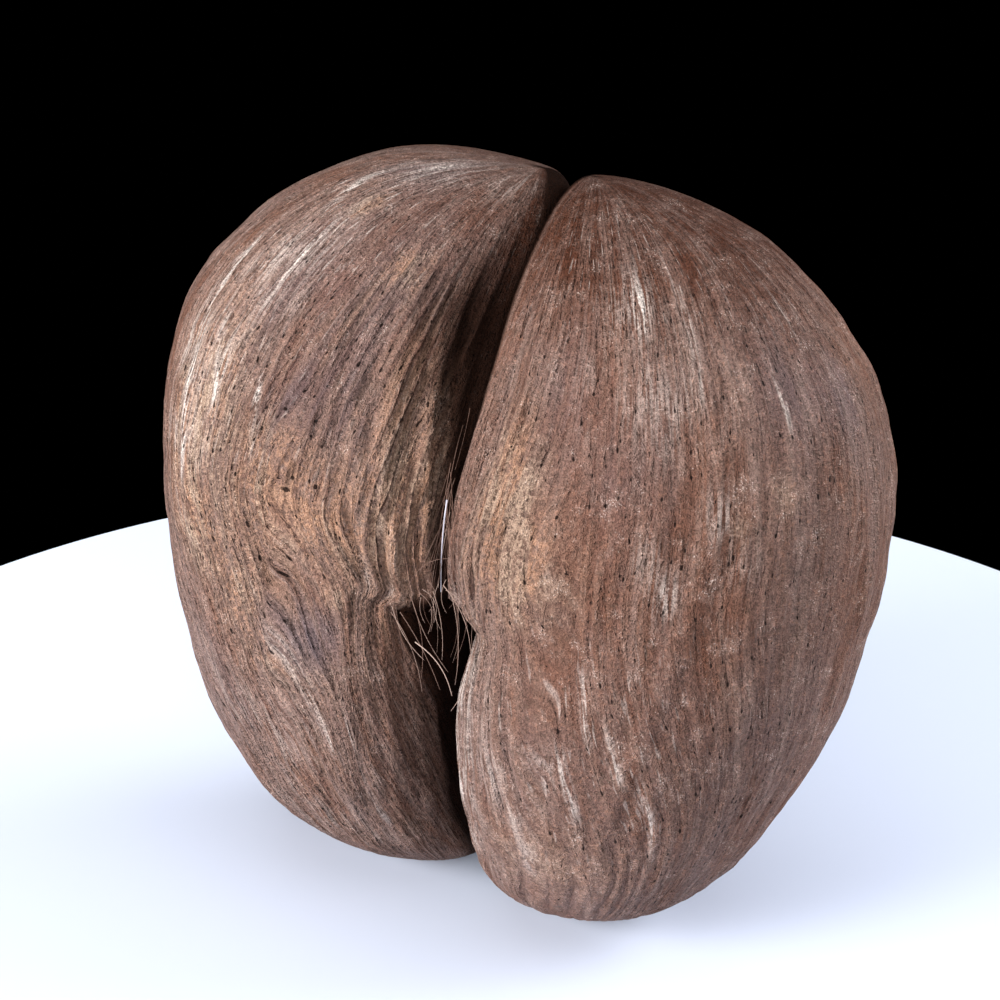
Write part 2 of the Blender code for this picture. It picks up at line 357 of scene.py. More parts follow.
# Small pits painted dark as their shade, one to a cell, each with a thin groove as its tail. They are laid out
# on the unrolled grain, which is cut at a turn inside the cleft and squashed lengthwise.
PitSize = namedtuple("PitSize", "cell size tail")
LARGE_PITS = PitSize(0.0085, 0.00044, 0.0150)
SMALL_PITS = PitSize(0.0050, 0.00034, 0.0050)
PIT_CUT = math.radians(30)
PIT_SQUASH = 0.45
PIT_ASPECT = 2.2

# Depths of the bumps in the materials, and how dull the shell is.
MOTTLE_BUMP = 0.0010
RIB_BUMP = 0.0016
LINE_BUMP = 0.0018
GRAIN_BUMP = 0.0024
FIBRE_BUMP = 0.0003
SHELL_SHINE = 0.08
FIBRE_ROUGHNESS = 0.6

# The camera: where it turns round, how far off it stands, and what it looks at.
AZIMUTH = math.radians(30.0)
ELEVATION = math.radians(25.5)
DISTANCE = 0.78
PIVOT = Vector((0.0, 0.0, 0.1425))
LOOK_ASIDE = -0.0004
LOOK_UP = 0.0152
LENS = 72.0
SENSOR = 36.0
CLIP = (0.05, 20.0)
PICTURE = 1000
UP = Vector((0.0, 0.0, 1.0))
SIDEWAYS = Vector((math.cos(AZIMUTH), math.sin(AZIMUTH), 0.0))
BACKWARD = Vector((math.sin(AZIMUTH), -math.cos(AZIMUTH), 0.0))

# Husk fibres, each from a start to an end in the photograph's pixels, bowed sideways by some pixels, with its
# thickness in metres and how pale it is.
Strand = namedtuple("Strand", "start end bow thickness pale")
STRANDS = (
    Strand((392, 606), (424, 660), -5, 0.00019, 0.6),
    Strand((391, 612), (422, 692), 6, 0.00016, 0.4),
    Strand((407, 588), (464, 561), 14, 0.00014, 0.1),
    Strand((415, 642), (452, 696), 7, 0.00023, 1.1),
    Strand((421, 597), (425, 623), -3, 0.00013, 0.4),
    Strand((433, 591), (442, 660), 4, 0.00015, 0.5),
    Strand((431, 609), (428, 634), 2, 0.00012, 0.4),
    Strand((449, 528), (465, 597), -4, 0.00014, 0.2),
    Strand((443, 585), (471, 655), 7, 0.00018, 0.6),
    Strand((471, 655), (451, 711), 5, 0.00018, 0.6),
    Strand((452, 597), (455, 685), 5, 0.00015, 0.5),
    Strand((482, 612), (479, 646), 3, 0.00018, 0.1),
    Strand((384, 695), (407, 703), 2, 0.00010, 0.0),
    Strand((446, 590), (470, 622), 5, 0.00015, 0.6),
    Strand((412, 600), (448, 672), -4, 0.00014, 0.4),
    Strand((400, 612), (440, 690), 3, 0.00014, 0.3),
)

# Threads that lie along the seam above the pit.
SEAM_STRANDS = (
    Strand((455, 478), (444, 530), -2, 0.00015, 0.2),
    Strand((447, 500), (441, 592), -2, 0.00035, 1.9),
    Strand((450, 512), (438, 588), -1, 0.00014, 0.6),
    Strand((470, 408), (455, 470), 1, 0.00014, 0.0),
    Strand((463, 425), (447, 505), -2, 0.00014, 0.1),
    Strand((452, 500), (450, 596), 3, 0.00014, 0.3),
    Strand((446, 520), (430, 598), -2, 0.00013, 0.3),
)

# Fine hairs, drawn at random: how many, and the limits of each draw, in pixels, metres or paleness. Pit hairs
# start on the arched upper lip of the pit and lean inward, and seam hairs run down the seam to that lip.
Hairs = namedtuple("Hairs", "count aside down bow thickness pale")
PIT_HAIRS = Hairs(20, (-3, 3), (-6, 6), (-9, 9), (0.00007, 0.00013), (-0.1, 0.6))
SEAM_HAIRS = Hairs(24, (-3, 4), (-14, 12), (-4, 4), (0.00009, 0.00014), (-0.3, 0.3))
HAIR_SEED = 5
LIP_START = (394, 606)
LIP_WIDTH = 88
LIP_ARCH = 22
HAIR_INWARD = (4, 30)
HAIR_TURN = 1.6
HAIR_DROP = (20, 85)
SEAM_START = (450, 462)
SEAM_LENGTH = 70
SEAM_LEAN = 6
SEAM_END = (414, 588)
SEAM_END_WIDTH = 60

# The fibres are tapered tubes that lie just off the shell, and over the pit in the plane of its mouth.
MOUTH = -0.066
LIFT = 0.0007
RING = 6
STEPS = 14
SMOOTHINGS = 3
TAPER = 0.45

# The floor: a plain disc, a little nearer and to the left of the nut.
FLOOR_RADIUS = 0.376
FLOOR_SIDES = 180
FLOOR_NEARER = 0.006
FLOOR_ASIDE = -0.004
FLOOR_COLOUR = (0.62, 0.68, 0.83, 1.0)
FLOOR_SHADE = (0.64, 0.70, 0.84, 1.0)
FLOOR_ROUGHNESS = 0.6
FLOOR_SHINE = 0.2

# Large soft lamps: how far aside, nearer to the camera and up, the size, the power in watts and the colour.
Lamp = namedtuple("Lamp", "name aside back up size power colour")
LAMPS = (
    Lamp("key", -1.55, 0.80, 0.68, 0.85, 65.0, (1.0, 0.985, 0.97)),
    Lamp("fill", 1.60, -0.30, 0.78, 1.20, 48.0, (0.97, 0.98, 1.0)),
    Lamp("top", 0.00, 0.15, 1.50, 1.60, 16.0, (0.97, 0.985, 1.0)),
    Lamp("front", 0.15, 1.75, 0.70, 1.10, 16.0, (1.0, 0.99, 0.98)),
)
LAMP_TARGET = Vector((0.0, 0.0, 0.12))
BLACK = (0.0, 0.0, 0.0, 1.0)


def ease(share):
    """0 to 1, with a level start and end."""
    share = np.clip(share, 0.0, 1.0)
    return share * share * (3.0 - 2.0 * share)


def rise(value, start, end):
    """0 up to the start and 1 from the end on, with a smooth change between. The end may be the lower one."""
    return ease((value - start) / (end - start))


def bell(value, middle, spread):
    """1 at the middle, and falling off smoothly on both sides."""
    return np.exp(-(((value - middle) / spread) ** 2))


def outline_at(height, outline, tip, pole):
    """How far an outline stands from the lobe's own axis plane at a height."""
    below = height < outline.level
    span = np.where(below, outline.level, HEIGHT - outline.level)
    share = np.clip(np.abs(height - outline.level) / span, 0.0, 1.0)
    power = np.where(below, outline.low, outline.high)
    end = np.where(below, tip, pole)
    return end + (outline.reach - end) * (1.0 - share**power) ** (1.0 / power)


def parting(height, sine, inner):
    """How far the inner side steps away from the middle plane, below the bridge."""
    in_front = ease((sine + 0.10) / 0.45)
    top = BACK_CROTCH + (PIT_TOP - BACK_CROTCH) * in_front
    below_lip = ease((top - height) / PIT_LIP)
    pit = np.exp(-(np.clip(PIT_TOP - height, 0.0, None) / PIT_FALL) ** 2) * in_front
    half_width = SLIT_HALF_WIDTH + (PIT_HALF_WIDTH - SLIT_HALF_WIDTH) * pit
    notch = ease((BACK_CROTCH - height) / BACK_CROTCH) * (1.0 - in_front)
    half_width = half_width + BACK_NOTCH_HALF_WIDTH * notch
    short = half_width - inner
    return below_lip * (short + np.hypot(short, PARTING_SOFTNESS)) / 2.0


def rib(height, turn):
    """How far the ribs stand out of the lobe. They are boldest on the inner front, above the pit."""
    sway = RIB_SWAY * np.sin(2.0 * math.pi * height / HEIGHT)
    waves = sum(wave.share * np.sin(wave.count * (turn + sway) + wave.phase) for wave in RIB_WAVES)
    bold = bell(turn, BOLD_TURN, BOLD_SPREAD) * ease((height - BOLD_FROM) / BOLD_RISE)
    fade = ease(np.minimum(height, HEIGHT - height) / RIB_FADE)
    return RIB_HEIGHT * waves * fade * (PLAIN_SHARE + (1.0 - PLAIN_SHARE) * bold)


def lobe_point(height, turn):
    """A point of the right lobe, at a height and a turn."""
    outer = outline_at(height, OUTER, TIP[0], POLE[0])
    inner = outline_at(height, INNER, TIP[0], POLE[0])
    front = outline_at(height, FRONT, TIP[1], POLE[1])
    back = outline_at(height, BACK, TIP[1], POLE[1])
    ridge = inner + RIDGE_SHARE * (outer - inner)
    middle = (front + back) / 2.0

    cosine, sine = np.cos(turn), np.sin(turn)
    is_inner, is_front = cosine > 0.0, sine > 0.0
    spread = np.where(height > BRIDGE_LEVEL, SPREAD_ABOVE, SPREAD_BELOW)
    bridge = BRIDGE_SQUARENESS * np.exp(-(((height - BRIDGE_LEVEL) / spread) ** 2))
    power = np.where(is_inner & is_front, ROUND + bridge, ROUND)
    across = np.abs(cosine) ** (2.0 / power)
    along = np.abs(sine) ** (2.0 / power)

    x = ridge + np.where(is_inner, inner - ridge, outer - ridge) * across
    y = middle + np.where(is_front, front - middle, back - middle) * along
    x = x + np.where(is_inner, parting(height, sine, inner) * across**3, 0.0)
    waist = np.exp(-(((height - WAIST_LEVEL) / WAIST_SPREAD) ** 2)) * np.exp(-((x / WAIST_REACH) ** 2))
    y = y + np.where(is_front, WAIST_DEPTH * waist * along, 0.0)
    push = rib(height, turn)
    return x - push * cosine, y - push * sine


def level_at(share):
    """Height at a share of the way from tip to pole, with rows closer together at both ends."""
    return HEIGHT * (1.0 - np.cos(math.pi * share)) / 2.0


def spaced(count, place_of, crowd):
    """count + 1 shares from 0 to 1, closer together where their places are near the crowd."""
    fine = np.linspace(0.0, 1.0, 2001)
    density = 1.0 + crowd.extra * np.exp(-(((place_of(fine) - crowd.middle) / crowd.spread) ** 2))
    total = np.concatenate([[0.0], np.cumsum((density[1:] + density[:-1]) / 2.0)])
    return np.interp(np.linspace(0.0, total[-1], count + 1), total, fine)


def left_point(x, y, z):
    """Where a point left of the middle plane goes, to make the left lobe larger and its waist deeper."""
    away = ease(-x / LEFT_BLEND)
    wider = 1.0 + LEFT_WIDER_LOW + (LEFT_WIDER_HIGH - LEFT_WIDER_LOW) * (z / HEIGHT) ** LEFT_WIDER_POWER
    waist = np.exp(-(((z - LEFT_WAIST_LEVEL) / WAIST_SPREAD) ** 2) - (x / WAIST_REACH) ** 2)
    front = ease(-y / FRONT_BLEND)
    splay = LEFT_SPLAY * ease(1.0 - z / SPLAY_TOP) * ease(-x / FRONT_BLEND)
    return x * wider - splay, y + LEFT_WAIST_DEPTH * waist * away * front, z * (1.0 + LEFT_TALLER * away)


def notch_lean(x, z):
    """How far a point near the notch goes to the right."""
    return NOTCH_LEAN * ease((z - NOTCH_LEVEL) / NOTCH_RISE) * np.exp(-((x / NOTCH_SPREAD) ** 2))


def lobe_mesh():
    """The whole right lobe as a closed bmesh of rows and columns. Each vertex keeps its turn and height."""
    shares = spaced(ROWS, level_at, ROW_CROWD)
    turns = 2.0 * math.pi * spaced(COLUMNS, np.positive, COLUMN_CROWD)[:-1]
    mesh = bmesh.new()
    turn_layer = mesh.verts.layers.float.new("turn")
    height_layer = mesh.verts.layers.float.new("height")
    tip = mesh.verts.new((TIP[0], TIP[1], 0.0))
    pole = mesh.verts.new((POLE[0], POLE[1], HEIGHT))
    pole[height_layer] = HEIGHT
    rows = []
    signed = np.where(turns > math.pi, turns - 2.0 * math.pi, turns)
    for share in shares[1:-1]:
        height = level_at(share)
        x, y = lobe_point(np.full(COLUMNS, height), turns)
        row = []
        for a, b, turn in zip(x, y, signed):
            vert = mesh.verts.new((a, b, height))
            vert[turn_layer] = turn
            vert[height_layer] = height
            row.append(vert)
        rows.append(row)
    for column in range(COLUMNS):
        beside = (column + 1) % COLUMNS
        mesh.faces.new((tip, rows[0][beside], rows[0][column]))
        mesh.faces.new((pole, rows[-1][column], rows[-1][beside]))
        for lower, upper in zip(rows, rows[1:]):
            mesh.faces.new((lower[column], lower[beside], upper[beside], upper[column]))
    bmesh.ops.recalc_face_normals(mesh, faces=mesh.faces)
    return mesh


def cut_off(mesh, place, outward):
    """Cuts the mesh at a plane and drops what is outside it."""
    cut = mesh.verts[:] + mesh.edges[:] + mesh.faces[:]
    bmesh.ops.bisect_plane(mesh, geom=cut, dist=CUT_SNAP, plane_co=place, plane_no=outward, clear_outer=True)


def both_lobes():
    """The right lobe, cut at the middle plane where it would cross it, and its mirror image, joined there."""
    mesh = lobe_mesh()
    for vert in mesh.verts:
        if abs(vert.co.x) < SEAM_SNAP:
            vert.co.x = 0.0
    cut_off(mesh, (0, 0, 0), (-1, 0, 0))
    whole = mesh.verts[:] + mesh.edges[:] + mesh.faces[:]
    bmesh.ops.mirror(mesh, geom=whole, merge_dist=SEAM_MERGE, axis="X")
    return mesh


def degrees_off(turn, middle):
    """How far a turn is from a middle given in degrees, in degrees, the short way round."""
    return (np.degrees(turn) - middle + 180.0) % 360.0 - 180.0


def grain_turn(left, turn, height):
    """The turn at which the grain line through a place starts at the pole."""
    degrees = np.degrees(turn)
    lower_front = rise(degrees, *RIGHT_SWEEP_TURNS[0]) * rise(degrees, *RIGHT_SWEEP_TURNS[1])
    right = RIGHT_SWEEP * rise(height, *RIGHT_SWEEP_LEVELS) * lower_front
    inner_front = rise(degrees, *LEFT_SWEEP_TURNS[0]) * rise(degrees, *LEFT_SWEEP_TURNS[1])
    out = LEFT_SWEEP * rise(height, *LEFT_SWEEP_LEVELS) * inner_front
    level = LEFT_RETURN_LEVEL - LEFT_RETURN_DROP * rise(degrees, *LEFT_RETURN_DROP_TURNS)
    below = np.clip((level - height) / LEFT_RETURN_SPAN, 0.0, 1.0) ** LEFT_RETURN_POWER
    back_in = LEFT_RETURN * ease(below) * (1.0 + np.cos(turn - LEFT_RETURN_MIDDLE)) / 2.0
    return turn - np.where(left, out - back_in, right)


def noise_on(points):
    """Smooth noise at each point, about -0.6 to 0.6."""
    return np.array([noise.noise(point) for point in points.tolist()])


class Skin:
    """What each vertex of the shell knows about its own place."""

    def __init__(self, mesh):
        turn_layer = mesh.verts.layers.float["turn"]
        height_layer = mesh.verts.layers.float["height"]
        self.place = np.array([vert.co for vert in mesh.verts])
        self.turn = np.array([vert[turn_layer] for vert in mesh.verts])
        self.height = np.array([vert[height_layer] for vert in mesh.verts])
        self.left = self.place[:, 0] < 0.0
        self.sides = {"L": self.left, "R": ~self.left, "LR": 1.0}
        self.degrees = np.degrees(self.turn)
        self.mm = self.height * 1000.0
        self.off_seam = np.abs(self.place[:, 0])
        self.lay_grain()

    def lay_grain(self):
        """Finds each vertex's grain line, its place on the unrolled grain, and how wide that lies there."""
        line = grain_turn(self.left, self.turn, self.height)
        apart = np.where(self.left, 1.0, 0.0)
        fallen = np.arccos(np.clip(1.0 - 2.0 * self.height / HEIGHT, -1.0, 1.0)) / math.pi
        self.line = np.degrees(line)
        self.along = fallen * GRAIN_LENGTH
        unrolled = (self.turn + PIT_CUT) % (2.0 * math.pi) + line - self.turn
        self.around = GRAIN_RADIUS * unrolled + apart
        across = (GRAIN_RADIUS * np.cos(line), GRAIN_RADIUS * np.sin(line))
        self.grain = np.stack([*across, self.along + apart], axis=-1)
        beside = grain_turn(self.left, self.turn + GRAIN_STEP, self.height)
        radius = np.hypot(self.off_seam - LOBE_AXIS[0], self.place[:, 1] - LOBE_AXIS[1])
        wide = np.clip(radius / GRAIN_RADIUS, *RADIUS_LIMITS)
        self.spread = wide / np.clip((beside - line) / GRAIN_STEP, *CROWDING_LIMITS)

    def spot(self, side, turn, height, wide, tall, weight):
        off = degrees_off(self.turn, turn)
        return weight * self.sides[side] * bell(off, 0.0, wide) * bell(self.mm, height, tall)

    def streak(self, side, line, low, high, wide, weight):
        ends = rise(self.mm, low, low + STREAK_FADE) * rise(self.mm, high, high - STREAK_FADE)
        return weight * self.sides[side] * ends * bell(self.line, line, wide)

    def leaning(self, side, start, end, low, high, wide, weight):
        middle = start + (end - start) * rise(self.mm, low, high)
        ends = rise(self.mm, low, low + STREAK_FADE) * rise(self.mm, high, high - LEANING_FADE)
        return weight * self.sides[side] * ends * bell(self.degrees, middle, wide)

    def zone(self, side, turn, spread, low, high, weight):
        around = 1.0 if spread is None else bell(self.degrees, turn, spread)
        return weight * self.sides[side] * around * rise(self.mm, *low) * rise(self.mm, *high)

    def marked(self, marks, even=(0.0, 0.0)):
        """All marks of a list added up, on an even weight on the left and one on the right."""
        ways = {Spot: self.spot, Streak: self.streak, Leaning: self.leaning, Zone: self.zone}
        return np.where(self.left, *even) + sum(ways[type(mark)](*mark) for mark in marks)

    def patchy(self, patch):
        return noise_on(self.grain / (patch.across, patch.across, patch.along) + patch.shift)

    def folds(self, fold, offset):
        """Rounded ridges along the grain with narrow grooves between them, from 0 to about 0.6."""
        points = self.grain / (fold.pitch, fold.pitch, fold.length)
        points[:, 2] += offset
        return np.abs(noise_on(points))


def rib_phase(skin):
    """The phase of the long ribs along the grain, half a turn from one groove to the next."""
    sideways = RIBS_WANDER * skin.patchy(WANDER_PATCH) + RIBS_RIPPLE * skin.patchy(RIPPLE_PATCH)
    return RIBS * np.radians(skin.line) / 2.0 + sideways


def pit_hollow(skin):
    """The hollow of the pit in the inner front of the left lobe, from 0 outside it to 1."""
    edge = HOLLOW_TURN + sum(wider * rise(skin.mm, low, high) for low, high, wider in HOLLOW_WIDER)
    inside = rise(skin.degrees, edge, edge - HOLLOW_EDGE)
    return skin.left * rise(skin.degrees, *HOLLOW_FRONT) * inside * rise(skin.mm, *HOLLOW_TOP)


def relief(skin):
    """How far the finer forms stand out of the lobes, how boldly they are ribbed, and the ribs' phase."""
    folds = np.zeros(len(skin.mm))
    for index, fold in enumerate(FOLDS):
        folds += fold.height * (skin.folds(fold, FOLD_APART * index) - FOLD_MEAN)
    phase = rib_phase(skin)
    depth = RIBS_DEPTH + RIBS_UNEVEN * skin.patchy(UNEVEN_PATCH)
    ribs = RIBS_HEIGHT * depth * (np.abs(np.sin(phase)) ** RIBS_POWER - RIBS_MEAN)
    near_end = ease(np.minimum(skin.height - FOOT_CUT, HEIGHT - skin.height) / END_FADE)
    bold = skin.marked(BOLD_MARKS, BOLD_EVEN) * near_end * (1.0 - skin.spot(*SMOOTH_SPOT))
    forms = skin.marked(DIMPLE + KNUCKLE + RIDGES + BEAK)
    swells = sum(swell.height * noise_on(skin.place * swell.scale + swell.offset) for swell in SWELLS)
    hollow = PIT_CARVE * pit_hollow(skin) * rise(skin.mm, *CARVE_LEVELS)
    height = (folds + ribs) * bold + forms + swells * near_end - hollow
    return height * ease(skin.off_seam / RIM_FADE), bold * depth, phase


def pale_and_highlight_places(skin):
    """The pale marks, with the painted highlights among them, broken up along the grain."""
    mean, swing, least, most = PALE_BROKEN
    broken = mean + swing * skin.patchy(BROKEN_PATCH)
    return skin.marked(PALE_AND_HIGHLIGHT_MARKS) * np.clip(broken, least, most)


def dusky_and_shade_places(skin):
    """The darker marks, painted shade by the cleft among them, with the upper inner part of the left lobe."""
    top = rise(skin.mm, *DUSKY_TOP_LEVELS) * rise(skin.degrees, *DUSKY_TOP_TURNS)
    return skin.marked(DUSKY_AND_SHADE_MARKS, DUSKY_EVEN) + skin.left * DUSKY_TOP * top


def dark_places(skin):
    """Painted shade along the seam, in the cleft, in the pit and beside the slit, and darker round the poles.
    """
    wide = SEAM_SHADE + SEAM_SHADE_WIDER * bell(skin.mm, *SEAM_SHADE_LEVELS)
    left = np.clip(SEAM_SHADE_FULL * bell(skin.off_seam, 0.0, wide), 0.0, 1.0)
    right = bell(skin.off_seam, 0.0, SEAM_SHADE_RIGHT)
    fall = SEAM_SHADE_FALL * rise(skin.mm, *SEAM_SHADE_FALL_LEVELS)
    seam = np.where(skin.left, left, right) * rise(skin.mm, *SEAM_SHADE_FROM) * (1.0 - fall)
    poles = POLE_DARKENING * rise(skin.mm, *POLE_DARKENING_LEVELS)
    inside = rise(np.abs(skin.degrees), *CLEFT_TURNS)
    hollow = HOLLOW_SHADE * pit_hollow(skin) * rise(skin.mm, *HOLLOW_SHADE_LEVELS)
    slit = SLIT_SHADE * skin.left * rise(skin.degrees, *SLIT_SHADE_TURNS)
    slit = slit * bell(skin.off_seam, 0.0, SLIT_SHADE_WIDTH)
    for levels in SLIT_SHADE_LEVELS:
        slit = slit * rise(skin.mm, *levels)
    return seam + poles + inside + hollow + slit


def flat_feet(mesh):
    """Cuts a small flat spot on each tip, and sets the nut down on them."""
    cut_off(mesh, (0, 0, FOOT_CUT), (0, 0, -1))
    rims = [edge for edge in mesh.edges if edge.is_boundary]
    bmesh.ops.edgeloop_fill(mesh, edges=rims)
    bmesh.ops.translate(mesh, verts=mesh.verts, vec=(-MIDDLE[0], -MIDDLE[1], -FOOT_CUT))


def add_object(name, mesh):
    """Turns a bmesh into an object of the scene."""
    data = bpy.data.meshes.new(name)
    mesh.to_mesh(data)
    mesh.free()
    thing = bpy.data.objects.new(name, data)
    bpy.context.scene.collection.objects.link(thing)
    return thing


def add_shell():
    """The nut's skin as one closed mesh, with the painted places and the grain kept on its vertices."""
    mesh = both_lobes()
    skin = Skin(mesh)
    for vert in mesh.verts:
        if vert.co.x < 0.0:
            vert.co = left_point(*vert.co)
        vert.co.x += notch_lean(vert.co.x, vert.co.z)
    mesh.normal_update()
    height, ribbed, phase = relief(skin)
    painted = {
        "ochre": skin.marked(OCHRE_MARKS),
        "blue": skin.marked(BLUE_MARKS),
        # Pale skin, with painted highlights among the pale marks.
        "pale": pale_and_highlight_places(skin),
        # Painted shade in the cleft, the pit and beside the slit, and darker round the poles.
        "dark": dark_places(skin),
        # Darker places, with painted shade by the cleft.
        "dusky_and_shade": dusky_and_shade_places(skin),
        "lined": skin.marked(LINED_MARKS, LINED_EVEN),
        "dashed": skin.marked(DASHED_MARKS, DASHED_EVEN),
        "ribbed": ribbed,
        "rib_sine": np.sin(phase),
        "rib_cosine": np.cos(phase),
        "grain_x": skin.grain[:, 0],
        "grain_y": skin.grain[:, 1],
        "grain_z": skin.grain[:, 2],
        "around": skin.around,
        "along": skin.along,
        "spread": skin.spread,
    }
    layers = {name: mesh.verts.layers.float.new(name) for name in painted}
    for index, vert in enumerate(mesh.verts):
        vert.co += vert.normal * float(height[index])
        for name, layer in layers.items():
            vert[layer] = float(painted[name][index])
    flat_feet(mesh)
    bmesh.ops.recalc_face_normals(mesh, faces=mesh.faces)
    shell = add_object("nut_shell", mesh)
    shell.data.shade_smooth()
    return shell


class Graph:
    """Makes a material's nodes and links, one call for each."""

    def __init__(self, name):
        self.material = bpy.data.materials.new(name)
        self.material.use_nodes = True
        self.tree = self.material.node_tree
        self.shader = self.tree.nodes["Principled BSDF"]

    def put(self, socket, value):
        if isinstance(value, bpy.types.NodeSocket):
            self.tree.links.new(value, socket)
        elif value is not None:
            socket.default_value = value

    def dress(self, **looks):
        """Sets inputs of the shader."""
        for name, value in looks.items():
            self.put(self.shader.inputs[name.replace("_", " ")], value)

    def node(self, kind, *values, **named):
        """A node with values or links for its first inputs and for its named ones."""
        node = self.tree.nodes.new("ShaderNode" + kind)
        for socket, value in zip(node.inputs, values):
            self.put(socket, value)
        for name, value in named.items():
            self.put(node.inputs[name.replace("_", " ")], value)
        return node

    def math(self, operation, first, second=None, clamp=False):
        node = self.node("Math", first, second)
        node.operation = operation
        node.use_clamp = clamp
        return node.outputs[0]

    def times(self, first, second, clamp=False):
        return self.math("MULTIPLY", first, second, clamp)

    def plus(self, first, second, clamp=False):
        return self.math("ADD", first, second, clamp)

    def minus(self, first, second):
        return self.math("SUBTRACT", first, second)

    def most(self, first, second, clamp=False):
        return self.math("MAXIMUM", first, second, clamp)

    def power(self, value, exponent):
        return self.math("POWER", value, exponent)

    def size(self, value):
        return self.math("ABSOLUTE", value)

    def length(self, first, second):
        return self.math("SQRT", self.plus(self.power(first, 2.0), self.power(second, 2.0)))

    def vector(self, operation, first):
        node = self.node("VectorMath", first)
        node.operation = operation
        return node

    def step(self, value, start, end, low=0.0, high=1.0):
        """low up to `start`, then smoothly to high at `end`."""
        node = self.node("MapRange", Value=value, From_Min=start, From_Max=end, To_Min=low, To_Max=high)
        node.interpolation_type = "SMOOTHSTEP"
        return node.outputs["Result"]

    def blend(self, share, first, second):
        node = self.node("Mix", Factor=share)
        node.data_type = "RGBA"
        colours = [socket for socket in node.inputs if socket.type == "RGBA"]
        self.put(colours[0], first)
        self.put(colours[1], second)
        return next(socket for socket in node.outputs if socket.type == "RGBA")

    def attribute(self, name):
        node = self.node("Attribute")
        node.attribute_name = name
        return node.outputs["Fac"]

    def place(self):
        return self.node("TexCoord").outputs["Object"]

    def noise(self, vector, kind, move=(0.0, 0.0, 0.0)):
        """Noise of one kind, stretched along the vector's Z."""
        stretch = self.node("Mapping", Vector=vector, Scale=(1.0, 1.0, kind.stretch), Location=move)
        looks = {"Scale": kind.scale, "Detail": kind.detail, "Roughness": kind.rough, "Distortion": kind.warp}
        return self.node("TexNoise", Vector=stretch.outputs[0], **looks).outputs["Fac"]

    def bump(self, height, distance, normal=None):
        return self.node("Bump", Strength=1.0, Distance=distance, Height=height, Normal=normal).outputs[0]


def pit_field(graph, pits):
    """Pits along the grain painted dark as their shade, each with a thin groove running up from it: (pit,
    groove).
    """
    step, times, plus = graph.step, graph.times, graph.plus
    along = times(graph.attribute("along"), PIT_SQUASH)
    spot = graph.node("CombineXYZ", graph.attribute("around"), along).outputs[0]
    cells = graph.node("TexVoronoi", Vector=spot, Scale=1.0 / pits.cell)
    cells.voronoi_dimensions = "2D"
    off = graph.vector("SUBTRACT", spot)
    graph.put(off.inputs[1], cells.outputs["Position"])
    aside, upward, _ = graph.node("SeparateXYZ", off.outputs[0]).outputs
    luck, chance, _ = graph.node("SeparateXYZ", cells.outputs["Color"]).outputs
    aside = plus(aside, times(graph.minus(chance, 0.5), upward))
    aside = times(graph.size(aside), graph.attribute("spread"))
    width = step(luck, 0.25, 1.00, 0.30 * pits.size, pits.size)
    across = graph.math("DIVIDE", aside, width)
    lengthwise = graph.math("DIVIDE", upward, times(width, PIT_ASPECT * PIT_SQUASH))
    pit = step(graph.length(across, lengthwise), 0.75, 1.25, 1.0, 0.0)
    tail = pits.tail * PIT_SQUASH
    start = step(upward, 0.0, 0.1 * tail)
    end = step(upward, 0.3 * tail, tail, 1.0, 0.0)
    thin = step(across, 0.15, 0.55, 1.0, 0.0)
    return pit, times(times(start, end), thin)


